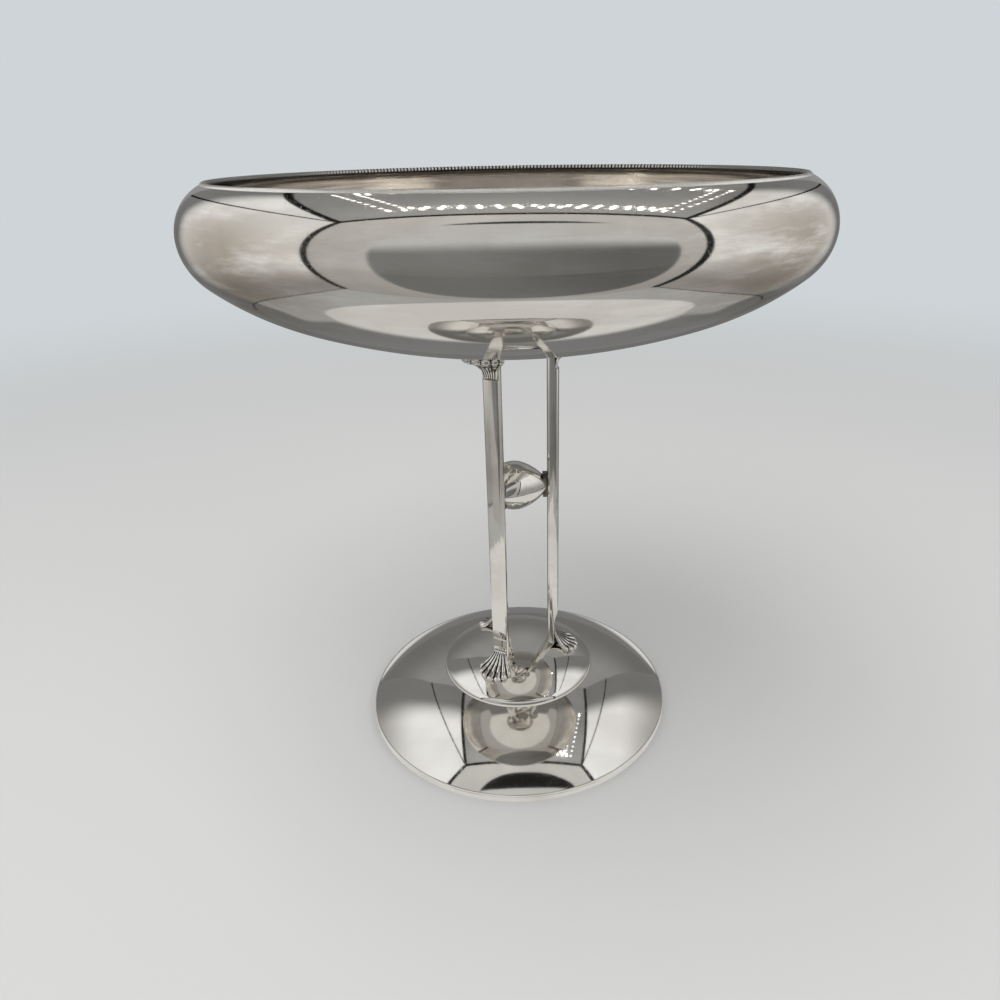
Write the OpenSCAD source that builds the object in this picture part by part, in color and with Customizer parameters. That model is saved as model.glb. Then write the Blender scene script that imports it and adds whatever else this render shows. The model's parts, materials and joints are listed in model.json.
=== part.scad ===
// Footed compote bowl: a wide spun bowl with an incurved shoulder and a rim wire, carried by
// three slender legs that hold a pointed ball between them and stand on palmette feet on a
// domed round base.
// The z axis is the axis of the bowl and base, and z = 0 is the plane that the base rests on.
// A leg's own frame has x pointing outwards from that axis, and y along the circle of legs.

/* [Bowl] */
// Height of the top of the rim wire above the table
overall_height = 250; // [240:0.5:275]
// Outer radius of the bowl at its widest
bowl_radius = 121.6; // [116:0.2:125]
// Distance of the rim wire's middle inwards from the bowl's widest radius
mouth_inset = 11.9; // [9:0.1:15]
// Outer radius of the shoulder's round section
shoulder_radius = 19; // [18:0.1:21]
// Outer radius of the haunch that joins the shoulder to the floor
haunch_radius = 86.5; // [75:0.5:95]
// Slope at which the shoulder turns into the haunch, in degrees from upright
haunch_start = 49; // [44:1:54]
// Slope at which the haunch turns into the floor, in degrees from upright
haunch_end = 68.6; // [64:0.2:72]
// Wall of the spun bowl
bowl_wall = 1.2; // [0.9:0.1:1.6]
// Radius of the rim wire's section
rim_wire_radius = 1.1; // [0.9:0.05:1.5]

/* [Base] */
// Outer radius of the base's edge ring
base_radius = 74; // [70:0.5:80]
// Height of the edge ring
band_height = 3.8; // [3:0.1:5]
// Ledge of the edge ring outside the flange
band_ledge = 0.5; // [0.3:0.1:0.9]
// Bevel on the outer corners of the edge ring
band_bevel = 0.3; // [0.1:0.05:0.5]
// Outer radius of the flange's convex section
flange_radius = 108; // [98:1:120]
// Slope of the flange where it meets the edge ring, in degrees
flange_slope = 36.5; // [34:0.5:38]
// Share of the base's radius at which the step stands on the flange
step_share = 0.5027; // [0.49:0.001:0.53]
// Outer radius of the roll that turns the step into the dome
step_roll = 2.6; // [2.2:0.1:3.2]
// Outer radius of the dome's spherical surface
dome_radius = 65; // [60:0.5:75]
// Wall of the spun base
base_wall = 1.2; // [0.9:0.1:1.6]

/* [Legs] */
// Distance of the middle of each leg from the axis
leg_circle = 17.8; // [17:0.1:19]
// Turn of the first leg from the x axis, in degrees
leg_turn = 2; // [-10:1:15]
// Width of a leg along the circle of legs
leg_width = 7.2; // [6.6:0.1:8]
// Depth of a leg between its inner face and the ridge on its outer face
leg_depth = 5.2; // [4.8:0.1:6]
// Rise of the ridge above the edges of the outer face
ridge_rise = 0.7; // [0.4:0.1:1]
// Bevel on the leg's long edges
leg_bevel = 0.7; // [0.4:0.1:1]
// Depth of the tongue that each end of a leg keeps behind its palmette
tongue_depth = 2.9; // [2.7:0.1:3.2]
// Radius of the scoop that thins the leg above its foot
scoop_radius = 18; // [14:0.5:24]
// Height above the dome at which the scoop runs out into the bare neck
neck_height = 8; // [7.2:0.1:10]
// Diameter of the stud below each leg
stud_diameter = 2.4; // [2:0.1:2.6]
// Length of stud that shows below its nut
stud_end = 1.4; // [1:0.1:2]

/* [Palmettes] */
// Height of a palmette foot above the top of the dome
foot_height = 4; // [3.4:0.1:4.8]
// Reach of a foot's middle lobe outwards from the tongue
foot_reach = 10.4; // [9.4:0.1:11.4]
// Height of a palmette capital below the bottom of the bowl
capital_height = 12; // [10:0.1:14]
// Reach of a capital's middle lobe outwards from the tongue
capital_reach = 10.8; // [9.6:0.1:11.8]
// Half width of an outermost lobe's round end
lobe_half_width = 1.3; // [1.15:0.05:1.5]
// Half height of a lobe's round end
lobe_half_height = 1.5; // [1.2:0.05:1.8]
// Half width of a lobe at its root
root_half_width = 0.6; // [0.5:0.05:0.75]
// Distance of the outermost lobes' roots from the middle of the leg
root_spread = 2.7; // [2.3:0.1:2.8]
// Number of lobes on a palmette
lobe_count = 7; // [5:2:9]
// Turn of the outermost lobes from straight outwards, in degrees
fan_half_angle = 42; // [36:1:48]

/* [Ball] */
// Height of the ball's middle above the table
ball_height = 118.7; // [105:0.5:135]
// Radius of the ball
ball_radius = 11.2; // [10.8:0.1:11.8]
// Radius of the curve that draws the ball out into each point
point_curve = 24; // [23:0.1:25]
// Angle from a point's axis at which its curve leaves the ball, in degrees
point_angle = 70; // [68:0.5:71]
// Wall of the ball's two halves
ball_wall = 1; // [0.8:0.1:1.4]
// Half height of a collar on the leg's inner face
collar_half_height = 6; // [5.8:0.1:7]
// Half height of a collar at its inner end, around the point
collar_end_half_height = 5.5; // [5.2:0.1:5.8]
// Depth of a collar in from the leg's inner face
collar_depth = 2.2; // [1.8:0.1:2.4]

/* [Fasteners] */
// Radius of a saddle washer
washer_radius = 4; // [3.6:0.1:4.6]
// Height of a saddle washer at the stud
washer_height = 2; // [1.8:0.1:2.4]
// Width of a nut across its flats
nut_width = 5; // [4.5:0.1:5.5]
// Height of a nut
nut_height = 2; // [1.6:0.1:2.4]

/* [Hidden] */
leg_count = 3;
// Gap that a soldered or seated joint keeps between curved faces
seat_gap = 0.1;
// Play of a stud in its hole
stud_play = 0.2;
// Overrun of every cut past the surface that it opens
overrun = 1;
// Length along which two arcs of a spun wall run into each other
arc_lap = 0.05;
// Facets round a full turn, on small and on large rounds
fine = 96;
broad = 192;

// Bowl: the profile's three arcs are tangent to each other, and the last has its centre on
// the axis. A place in a profile is [radius, height].
mouth_radius = bowl_radius - mouth_inset;
wire_height = overall_height - rim_wire_radius;
mid_wall_radius = shoulder_radius - bowl_wall / 2;
mouth_angle = acos((shoulder_radius - mouth_inset) / mid_wall_radius);
belt_height = wire_height - mid_wall_radius * sin(mouth_angle);
shoulder_centre = [bowl_radius - shoulder_radius, belt_height];
haunch_centre = shoulder_centre
    + (shoulder_radius - haunch_radius) * [cos(haunch_start), -sin(haunch_start)];
floor_radius = haunch_radius + haunch_centre[0] / cos(haunch_end);
floor_height = haunch_centre[1] - (haunch_radius - floor_radius) * sin(haunch_end);
bowl_bottom = floor_height - floor_radius;

// Base: the flange ends flat on the edge ring, and the dome rolls over to stand on the flange
step_radius = base_radius * step_share;
flange_edge = base_radius - band_ledge;
flange_centre = [flange_edge - flange_radius * sin(flange_slope),
                 band_height - flange_radius * cos(flange_slope)];
step_slope = asin((step_radius - flange_centre[0]) / flange_radius);
flange_start = asin((step_radius - base_wall - flange_centre[0]) / flange_radius);
step_height = flange_centre[1] + flange_radius * cos(step_slope);
roll_centre = [step_radius - step_roll, step_height];
dome_edge_slope = asin(roll_centre[0] / (dome_radius - step_roll));
dome_height = step_height - (dome_radius - step_roll) * cos(dome_edge_slope);
dome_top = dome_height + dome_radius;
ring_depth = band_ledge + base_wall / sin(flange_slope) + base_wall / 2;

// Legs: faces of a leg in its own frame
leg_inner = leg_circle - leg_depth / 2;
leg_outer = leg_circle + leg_depth / 2;
tongue_face = leg_inner + tongue_depth;
stud_place = leg_inner + tongue_depth / 2;
washer_top = dome_height + sqrt(pow(dome_radius - base_wall, 2) - pow(stud_place, 2));
washer_bottom = washer_top - washer_height;

// Ball: how far the centre of a point's curve lies back, beyond the axis and the middle
point_centre = (point_curve - ball_radius) * [sin(point_angle), cos(point_angle)];

// Lobes: steps along a lobe, facets round it, and shares of its reach and height
lobe_steps = 5;
bead_facets = 8;
side_draw_share = 0.35;
root_drop_share = 0.55;
instep_share = 0.5;
instep_rise_share = 0.6;
middle_swell_share = 0.75;
core_share = 0.92;
core_squeeze_share = 0.86;
core_fan_share = 1.33;
seat_sink_share = 0.8;

function leg_angle(i) = leg_turn + (i - 1) * 360 / leg_count;

// How far a sphere's surface has dropped below its apex at a distance from the axis
function sphere_drop(radius, distance) = radius - sqrt(pow(radius, 2) - pow(distance, 2));

// Radius of a point of the ball at a distance from the middle
function point_radius(distance) =
    sqrt(pow(point_curve, 2) - pow(distance + point_centre[1], 2)) - point_centre[0];

// Angle that the arcs' lap takes up on a radius
function lap(radius) = arc_lap / radius * 180 / PI;

function bezier(p, t) = pow(1 - t, 3) * p[0] + 3 * pow(1 - t, 2) * t * p[1]
    + 3 * (1 - t) * pow(t, 2) * p[2] + pow(t, 3) * p[3];

// Course of a lobe, as [distance from its root, height above the seat's apex]
function lobe_course(seat_radius, height, reach) =
    let (end = lobe_half_height * seat_sink_share
             - sphere_drop(seat_radius, tongue_face + reach))
    [[0, height - root_half_width],
     [root_half_width, height * (1 - root_drop_share)],
     [reach * instep_share, end + lobe_half_height * instep_rise_share],
     [reach, end]];

// Band of even wall that follows an arc, in the plane of a profile. Its start and end angles
// run on by its laps, in degrees, into the bands that it joins.
module arc_band(centre, radius, wall, from, to, from_lap = 0, to_lap = 0) {
    start = from - from_lap;
    end = to + to_lap;
    middle = (start + end) / 2;
    translate(centre)
        intersection() {
            difference() {
                circle(r = radius, $fn = broad);
                circle(r = radius - wall, $fn = broad);
            }
            polygon([[0, 0],
                     2 * radius * [cos(start), sin(start)],
                     2 * radius * [cos(middle), sin(middle)],
                     2 * radius * [cos(end), sin(end)]]);
        }
}

module in_leg_frame(i) {
    rotate([0, 0, leg_angle(i)])
        children();
}

module dome_space(gap) {
    translate([0, 0, dome_height])
        sphere(r = dome_radius + gap, $fn = broad);
}

module bowl_space(gap) {
    translate([0, 0, floor_height])
        sphere(r = floor_radius + gap, $fn = broad);
}

module bowl_shell() {
    color("#c9c5bd")
        rotate_extrude($fn = broad)
            difference() {
                union() {
                    arc_band(shoulder_centre, shoulder_radius, bowl_wall,
                             -haunch_start, mouth_angle);
                    arc_band(haunch_centre, haunch_radius, bowl_wall,
                             -haunch_end, -haunch_start, lap(haunch_radius), lap(haunch_radius));
                    arc_band([0, floor_height], floor_radius, bowl_wall,
                             -90, -haunch_end);
                }
                translate([mouth_radius, wire_height])
                    circle(r = rim_wire_radius + seat_gap, $fn = fine);
            }
}

module rim_wire() {
    color("#d6d2ca")
        translate([0, 0, wire_height])
            rotate_extrude($fn = broad)
                translate([mouth_radius, 0])
                    circle(r = rim_wire_radius, $fn = fine);
}

// Section of a leg: a flat inner face, bevelled edges and a low ridge along the outer face
module leg_section() {
    half = leg_width / 2;
    shoulder = leg_outer - ridge_rise;
    polygon([[leg_inner, leg_bevel - half],
             [leg_inner + leg_bevel, -half],
             [shoulder - leg_bevel, -half],
             [shoulder, leg_bevel - half],
             [leg_outer, 0],
             [shoulder, half - leg_bevel],
             [shoulder - leg_bevel, half],
             [leg_inner + leg_bevel, half],
             [leg_inner, half - leg_bevel]]);
}

// Space in front of a leg's lower tongue, up to where the scoop has run out of the leg
module scoop() {
    cut_width = leg_width + 2 * overrun;
    neck_top = dome_top + neck_height;
    translate([tongue_face, -cut_width / 2, 0])
        cube([leg_depth, cut_width, neck_top]);
    translate([tongue_face + scoop_radius, 0, neck_top])
        rotate([90, 0, 0])
            cylinder(h = cut_width, r = scoop_radius, center = true, $fn = fine);
}

// Space in front of a leg's upper tongue, where its capital sits
module capital_seat() {
    cut_width = leg_width + 2 * overrun;
    translate([tongue_face, -cut_width / 2, bowl_bottom - capital_height])
        cube([leg_depth, cut_width, capital_height + floor_radius]);
}

module leg_stud() {
    stud_bottom = washer_bottom - nut_height - stud_end;
    translate([stud_place, 0, stud_bottom])
        cylinder(h = dome_top + overrun - stud_bottom, d = stud_diameter, $fn = fine);
}

module leg(i) {
    color("#bdb9b0")
        in_leg_frame(i) {
            difference() {
                linear_extrude(height = floor_height)
                    leg_section();
                scoop();
                capital_seat();
                dome_space(seat_gap);
                bowl_space(seat_gap);
            }
            leg_stud();
        }
}

// One bead of a lobe at a share of its course, where side runs from -1 to 1 over the palmette
module lobe_bead(course, share, side) {
    place = bezier(course, share);
    end_half_width = lobe_half_width * (1 + middle_swell_share * (1 - abs(side)));
    half_width = root_half_width + (end_half_width - root_half_width) * share;
    half_height = root_half_width + (lobe_half_height - root_half_width) * share;
    rotate([0, 0, fan_half_angle * side])
        translate([place[0], 0, place[1]])
            scale([half_height, half_width, half_height])
                sphere(r = 1, $fn = bead_facets);
}

// Lobe k of a palmette, which drops from its root, runs outwards and swells to a round end
module lobe(k, seat_radius, height, reach) {
    side = 2 * k / (lobe_count - 1) - 1;
    course = lobe_course(seat_radius, height, reach * (1 - side_draw_share * pow(side, 2)));
    translate([tongue_face + root_half_width, root_spread * side, 0])
        for (step = [1:lobe_steps])
            hull() {
                lobe_bead(course, (step - 1) / lobe_steps, side);
                lobe_bead(course, step / lobe_steps, side);
            }
}

// Hollow-sided core that the lobes of a palmette stand out from
module palmette_core(seat_radius, height, reach) {
    course = lobe_course(seat_radius, height, reach * core_share);
    bottom = -sphere_drop(seat_radius, leg_outer + reach) - overrun;
    side_points = [for (step = [0:lobe_steps]) bezier(course, step / lobe_steps)];
    core_half_angle = fan_half_angle * core_fan_share;
    translate([tongue_face, 0, 0])
        scale([1, core_squeeze_share, 1])
            rotate([0, 0, -core_half_angle])
                rotate_extrude(angle = 2 * core_half_angle, $fn = fine / 4)
                    polygon(concat([[0, bottom], [0, course[0][1]]],
                                   [for (p = side_points) p + [root_half_width, 0]],
                                   [[reach * core_share + root_half_width, bottom]]));
}

// Palmette that stands on a dome whose apex is at the origin, against a leg's tongue
module palmette(seat_radius, height, reach) {
    block_width = leg_width + 2 * seat_gap;
    difference() {
        union() {
            for (k = [0:lobe_count - 1])
                lobe(k, seat_radius, height, reach);
            palmette_core(seat_radius, height, reach);
        }
        translate([0, -block_width / 2, -seat_radius])
            cube([tongue_face + seat_gap, block_width, seat_radius + height + overrun]);
        translate([0, 0, -seat_radius])
            sphere(r = seat_radius + seat_gap, $fn = broad);
    }
}

module palmette_foot(i) {
    color("#a8a49b")
        in_leg_frame(i)
            translate([0, 0, dome_top])
                palmette(dome_radius, foot_height, foot_reach);
}

module palmette_capital(i) {
    color("#a8a49b")
        in_leg_frame(i)
            translate([0, 0, bowl_bottom])
                mirror([0, 0, 1])
                    palmette(floor_radius, capital_height, capital_reach);
}

// Point of the ball along a leg frame's x axis. Its curve leaves the ball at a tangent and ends
// just short of the leg.
module ball_point() {
    start = ball_radius * cos(point_angle);
    rotate([0, 90, 0])
        rotate_extrude($fn = fine)
            intersection() {
                translate(-point_centre)
                    circle(r = point_curve, $fn = broad);
                translate([0, start])
                    square([ball_radius, leg_inner - seat_gap - start]);
            }
}

// Half of the hollow ball, with side 1 above its middle and side -1 below
module ball_half(side) {
    reach = leg_inner + overrun;
    translate([0, 0, ball_height])
        difference() {
            union() {
                sphere(r = ball_radius, $fn = fine);
                for (i = [1:leg_count])
                    in_leg_frame(i)
                        ball_point();
            }
            sphere(r = ball_radius - ball_wall, $fn = fine);
            translate([-reach, -reach, -(side + 1) / 2 * reach])
                cube([2 * reach, 2 * reach, reach]);
        }
}

module ball_upper_half() {
    color("#cfcbc3")
        ball_half(1);
}

module ball_lower_half() {
    color("#c4c0b8")
        ball_half(-1);
}

// Leaf that grips a point of the ball and is soldered to the leg's inner face
module ball_collar(i) {
    leaf_width = leg_width - 2 * leg_bevel;
    mouth = point_radius(leg_inner - collar_depth) + seat_gap;
    taper = (mouth - seat_gap - point_radius(leg_inner)) / collar_depth;
    color("#6f6b64")
        in_leg_frame(i)
            translate([0, 0, ball_height])
                difference() {
                    intersection() {
                        translate([leg_inner - collar_depth, 0, 0])
                            rotate([0, 90, 0])
                                cylinder(h = collar_depth, r = collar_half_height, $fn = fine);
                        rotate([90, 0, 0])
                            linear_extrude(height = leaf_width, center = true)
                                polygon([[leg_inner - collar_depth, -collar_end_half_height],
                                         [leg_inner, -collar_half_height],
                                         [leg_inner, collar_half_height],
                                         [leg_inner - collar_depth, collar_end_half_height]]);
                    }
                    rotate([0, 90, 0])
                        translate([0, 0, leg_inner - collar_depth - overrun])
                            cylinder(h = collar_depth + 2 * overrun,
                                     r1 = mouth + taper * overrun,
                                     r2 = mouth - taper * (collar_depth + overrun), $fn = fine);
                }
}

module base_shell() {
    color("#c6c2ba")
        difference() {
            rotate_extrude($fn = broad)
                difference() {
                    union() {
                        arc_band([0, dome_height], dome_radius, base_wall,
                                 90 - dome_edge_slope, 90, lap(dome_radius));
                        arc_band(roll_centre, step_roll, base_wall,
                                 0, 90 - dome_edge_slope);
                        arc_band(flange_centre, flange_radius, base_wall,
                                 90 - flange_slope, 90 - flange_start);
                    }
                    translate([0, band_height - 2 * base_wall])
                        square([base_radius, 2 * base_wall]);
                }
            for (i = [1:leg_count])
                in_leg_frame(i)
                    translate([stud_place, 0, washer_bottom])
                        cylinder(h = dome_top + overrun - washer_bottom,
                                 d = stud_diameter + 2 * stud_play, $fn = fine);
        }
}

module base_edge_ring() {
    inner = base_radius - ring_depth;
    color("#d2cec6")
        rotate_extrude($fn = broad)
            polygon([[inner, 0],
                     [base_radius - band_bevel, 0],
                     [base_radius, band_bevel],
                     [base_radius, band_height - band_bevel],
                     [base_radius - band_bevel, band_height],
                     [inner, band_height]]);
}

// Washers whose tops follow the underside of the dome
module saddle_washers() {
    color("#8f8a7e")
        for (i = [1:leg_count])
            in_leg_frame(i)
                difference() {
                    intersection() {
                        translate([stud_place, 0, washer_bottom])
                            cylinder(h = 2 * washer_height, r = washer_radius, $fn = fine);
                        translate([0, 0, dome_height])
                            sphere(r = dome_radius - base_wall - seat_gap, $fn = 4 * broad);
                    }
                    translate([stud_place, 0, washer_bottom - overrun])
                        cylinder(h = 2 * washer_height + 2 * overrun,
                                 d = stud_diameter + 2 * stud_play, $fn = fine);
                }
}

module stud_nuts() {
    color("#a39c8b")
        for (i = [1:leg_count])
            in_leg_frame(i)
                translate([stud_place, 0, washer_bottom - nut_height])
                    difference() {
                        cylinder(h = nut_height, d = nut_width / cos(30), $fn = 6);
                        translate([0, 0, -overrun])
                            cylinder(h = nut_height + 2 * overrun,
                                     d = stud_diameter + stud_play, $fn = fine);
                    }
}

bowl_shell();
rim_wire();
for (i = [1:leg_count]) {
    leg(i);
    palmette_foot(i);
    palmette_capital(i);
    ball_collar(i);
}
ball_upper_half();
ball_lower_half();
base_shell();
base_edge_ring();
saddle_washers();
stud_nuts();
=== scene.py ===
import json
import math

import bpy
from bpy.props import FloatProperty, FloatVectorProperty, IntProperty, PointerProperty
from mathutils import Matrix, Vector

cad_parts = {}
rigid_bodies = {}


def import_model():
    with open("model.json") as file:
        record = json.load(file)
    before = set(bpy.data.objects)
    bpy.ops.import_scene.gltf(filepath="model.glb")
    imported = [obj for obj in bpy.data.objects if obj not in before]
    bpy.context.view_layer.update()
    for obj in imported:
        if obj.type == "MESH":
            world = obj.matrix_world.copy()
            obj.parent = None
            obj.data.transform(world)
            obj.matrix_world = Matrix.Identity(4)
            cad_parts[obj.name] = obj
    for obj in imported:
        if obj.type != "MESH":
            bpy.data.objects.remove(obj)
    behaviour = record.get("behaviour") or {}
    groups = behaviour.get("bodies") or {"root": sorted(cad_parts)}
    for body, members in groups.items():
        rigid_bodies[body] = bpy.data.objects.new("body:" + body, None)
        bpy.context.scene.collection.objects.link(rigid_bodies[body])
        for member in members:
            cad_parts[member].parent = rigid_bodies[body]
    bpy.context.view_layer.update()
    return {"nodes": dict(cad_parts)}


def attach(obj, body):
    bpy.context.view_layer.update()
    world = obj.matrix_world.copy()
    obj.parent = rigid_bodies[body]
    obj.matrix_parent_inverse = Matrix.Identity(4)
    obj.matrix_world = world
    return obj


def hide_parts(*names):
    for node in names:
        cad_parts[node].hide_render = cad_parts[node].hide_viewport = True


bl_info = {
    "name": "Footed Compote Bowl",
    "version": (1, 0, 0),
    "blender": (4, 5, 0),
    "location": "3D View > Sidebar > Compote",
    "description": "Dresses the packed frame of a footed compote bowl in polished silver plate",
    "category": "Object",
}

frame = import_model()

BODY = "root"
LEGS = (1, 2, 3)
HOLLOW = "hollow"

# Points nearer than these, in metres, are merged: in a copy or profile, and after a spin
SAME_PLACE = 0.000001
SPIN_CLOSES = 0.000004

# Ends of two arcs nearer than this share of the pitch are one point
SHARED_END = 0.05

# Gap between the ball's points and the legs, and the softness of the small pieces' edges
LEG_GAP = 0.0001
SMALL_EDGE = 0.00025


def size(name, default, description):
    """A length in metres that a user can change."""
    return FloatProperty(name=name, default=default, description=description,
                         subtype="DISTANCE", unit="LENGTH", precision=5)


def angle(name, default, description):
    """An angle, given in degrees here and kept in radians."""
    return FloatProperty(name=name, default=math.radians(default), description=description,
                         subtype="ANGLE", unit="ROTATION")


def share(name, default, description):
    """A plain number from 0 to 1."""
    return FloatProperty(name=name, default=default, description=description,
                         min=0.0, max=1.0, subtype="FACTOR")


def colour(name, default, description):
    """A colour in Blender's linear values."""
    return FloatVectorProperty(name=name, default=default, description=description,
                               subtype="COLOR", size=3, min=0.0, max=1.0)


class BowlSizes(bpy.types.PropertyGroup):
    """Sizes of the bowl's spun shell and its milled rim wire."""

    height: size("Height", 0.25, "Top of the rim wire above the table")
    radius: size("Radius", 0.1216, "Outer radius at the widest")
    mouth_inset: size("Mouth inset", 0.0119, "Rim wire's middle inwards from the widest radius")
    shoulder: size("Shoulder radius", 0.019, "Outer radius of the shoulder's section")
    haunch: size("Haunch radius", 0.0865, "Outer radius of the haunch's section")
    haunch_start: angle("Haunch start", 49, "Slope at which shoulder turns into haunch")
    haunch_end: angle("Haunch end", 68.6, "Slope at which haunch turns into floor")
    wall: size("Wall", 0.0012, "Thickness of the spun wall")
    wire: size("Rim wire radius", 0.0011, "Radius of the rim wire's section")
    teeth: IntProperty(name="Milled teeth", default=387, min=24,
                       description="Teeth milled round the rim wire")
    tooth_depth: size("Tooth depth", 0.00055, "Depth of the notches between the rim's teeth")


class BaseSizes(bpy.types.PropertyGroup):
    """Sizes of the base's spun shell and its edge ring."""

    radius: size("Radius", 0.074, "Outer radius of the edge ring")
    band: size("Band height", 0.0038, "Height of the edge ring")
    ledge: size("Ledge", 0.0005, "Ledge of the edge ring outside the flange")
    flange: size("Flange radius", 0.108, "Radius of the flange's convex section")
    flange_slope: angle("Flange slope", 36.5, "Slope of the flange at the edge ring")
    step_share: share("Step share", 0.5027, "Share of the base's radius where the step stands")
    roll: size("Step roll", 0.0026, "Radius of the roll from step to dome")
    dome: size("Dome radius", 0.065, "Radius of the dome's sphere")
    wall: size("Wall", 0.0012, "Thickness of the spun wall")


class LegSizes(bpy.types.PropertyGroup):
    """Places of the legs, and the softness of their edges."""

    circle: size("Leg circle", 0.0178, "Distance of a leg's middle from the axis")
    turn: angle("Turn", 2, "Turn of the first leg from the x axis")
    depth: size("Depth", 0.0052, "Depth of a leg from inner face to ridge")
    tongue: size("Tongue depth", 0.0029, "Depth of the tongue behind each palmette")
    edge: size("Edge softness", 0.00022, "Radius of a leg's polished edges")


class PalmetteSizes(bpy.types.PropertyGroup):
    """Sizes for finishing the cast feet and capitals."""

    grain: size("Casting grain", 0.0002, "Size of the finest form in the cast lobes")
    capital_height: size("Capital height", 0.012, "Height of a capital below the bowl")
    flare: size("Flare", 0.0025, "Bend of the capital's lobe ends away from the bowl")


class BallSizes(bpy.types.PropertyGroup):
    """Sizes of the ball with its three drawn-out points."""

    height: size("Height", 0.1187, "Height of the ball's middle")
    radius: size("Radius", 0.0112, "Radius of the ball")
    curve: size("Point curve", 0.024, "Radius of the curve that draws out each point")
    leave: angle("Leaving angle", 70, "Angle from a point's axis where its curve starts")
    seam: size("Seam", 0.0002, "Width of the seam round the ball's middle")


class Finish(bpy.types.PropertyGroup):
    """Colours of the metals and of what covers them."""

    silver: colour("Silver", (0.86, 0.84, 0.80), "Clean silver plate")
    warm: colour("Tarnish", (0.4, 0.35, 0.29), "Thin warm tarnish")
    # Oxide colour, also used for the painted shade in the grooves and the rim's notches
    dark: colour("Oxide", (0.03, 0.027, 0.024), "Dark oxide left in the grooves")
    brass: colour("Brass", (0.52, 0.39, 0.17), "Bare brass of the fasteners")


class StageSettings(bpy.types.PropertyGroup):
    """The stage's colours and the size of its light tent."""

    floor: colour("Floor", (0.62, 0.62, 0.615), "The pale floor near the bowl")
    backdrop: colour("Backdrop", (0.62, 0.66, 0.68), "The plain distance behind it")
    tent_width: size("Tent half width", 0.3, "Half width of the light tent")
    tent_height: size("Tent height", 0.49, "Height of the light tent's ceiling")


SETTINGS = {
    "compote_bowl": BowlSizes,
    "compote_base": BaseSizes,
    "compote_leg": LegSizes,
    "compote_palmette": PalmetteSizes,
    "compote_ball": BallSizes,
    "compote_finish": Finish,
    "compote_stage": StageSettings,
}


# Shader maths


def both_ways(operation):
    """An operator and its reflected form, which add a Math node of the operation."""

    def plain(value, other):
        return value.maths(operation, value, other)

    def reflected(value, other):
        return value.maths(operation, other, value)

    return plain, reflected


class Value:
    """One output of a shader node, whose arithmetic adds Math nodes."""

    __add__, __radd__ = both_ways("ADD")
    __sub__, __rsub__ = both_ways("SUBTRACT")
    __mul__, __rmul__ = both_ways("MULTIPLY")
    __truediv__, __rtruediv__ = both_ways("DIVIDE")
    __pow__, __rpow__ = both_ways("POWER")

    def __init__(self, graph, socket):
        self.graph = graph
        self.socket = socket

    def maths(self, operation, *operands):
        return self.graph.node("ShaderNodeMath", {"operation": operation},
                               dict(enumerate(operands)))

    def absolute(self):
        return self.maths("ABSOLUTE", self)

    def step(self, low, high):
        """0 at low, 1 at high, smooth between them and level beyond them. Low may be the
        larger one."""
        return self.graph.node("ShaderNodeMapRange", {"interpolation_type": "SMOOTHSTEP"},
                               {"Value": self, "From Min": low, "From Max": high})

    def clamped(self):
        return self.graph.node("ShaderNodeClamp", {}, {"Value": self})


class Graph:
    """The node tree of a material or of the world."""

    def __init__(self, tree):
        self.tree = tree
        tree.nodes.clear()

    def node(self, kind, settings, values, output=0):
        """Adds a node, applies its settings, then fills its sockets by name or number."""
        made = self.tree.nodes.new(kind)
        for name, setting in settings.items():
            setattr(made, name, setting)
        for key, value in values.items():
            socket = made.inputs[key]
            if isinstance(value, Value):
                self.tree.links.new(value.socket, socket)
            elif isinstance(value, tuple) and len(value) == 3 and socket.type == "RGBA":
                socket.default_value = (*value, 1.0)
            else:
                socket.default_value = value
        return Value(self, made.outputs[output])

    def place(self):
        """Object coordinates, in metres."""
        return self.node("ShaderNodeTexCoord", {}, {}, "Object")

    def parts(self, vector):
        """The x, y and z of a vector."""
        split = self.node("ShaderNodeSeparateXYZ", {}, {"Vector": vector})
        return [Value(self, split.socket.node.outputs[k]) for k in range(3)]

    def vector(self, x, y, z):
        return self.node("ShaderNodeCombineXYZ", {}, {"X": x, "Y": y, "Z": z})

    def noise(self, vector, scale, detail, roughness=0.5):
        return self.node("ShaderNodeTexNoise", {"noise_dimensions": "3D"},
                         {"Vector": vector, "Scale": scale, "Detail": detail,
                          "Roughness": roughness})

    def turned(self, vector, turn, stretch):
        """The vector turned, then stretched along its new axes."""
        return self.node("ShaderNodeMapping", {}, {"Vector": vector, "Rotation": turn,
                                                   "Scale": stretch})

    def mixed(self, factor, first, second):
        """A colour between two colours."""
        factor_input, first_input, second_input, colour_output = 0, 6, 7, 2
        return self.node("ShaderNodeMix", {"data_type": "RGBA"},
                         {factor_input: factor, first_input: first, second_input: second},
                         colour_output)

    def bump(self, height, distance, strength=1.0, under=None):
        """The normal of a relief, laid over another one if given."""
        values = {"Height": height, "Distance": distance, "Strength": strength}
        if under:
            values["Normal"] = under
        return self.node("ShaderNodeBump", {}, values)

    def glow(self, colour, strength=1.0):
        return self.node("ShaderNodeEmission", {}, {"Color": colour, "Strength": strength})

    def clear(self):
        return self.node("ShaderNodeBsdfTransparent", {}, {})

    def choice(self, factor, first, second):
        """The first shader where the factor is 0 and the second where it is 1."""
        return self.node("ShaderNodeMixShader", {}, {0: factor, 1: first, 2: second})

    def ray(self, question):
        """1 where the ray is of the kind asked for, such as Is Glossy Ray."""
        return self.node("ShaderNodeLightPath", {}, {}, question)

    def surface(self, shader, output="ShaderNodeOutputMaterial"):
        end = self.tree.nodes.new(output)
        self.tree.links.new(shader.socket, end.inputs["Surface"])


def new_material(name):
    made = bpy.data.materials.new(name)
    made.use_nodes = True
    return made, Graph(made.node_tree)


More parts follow.
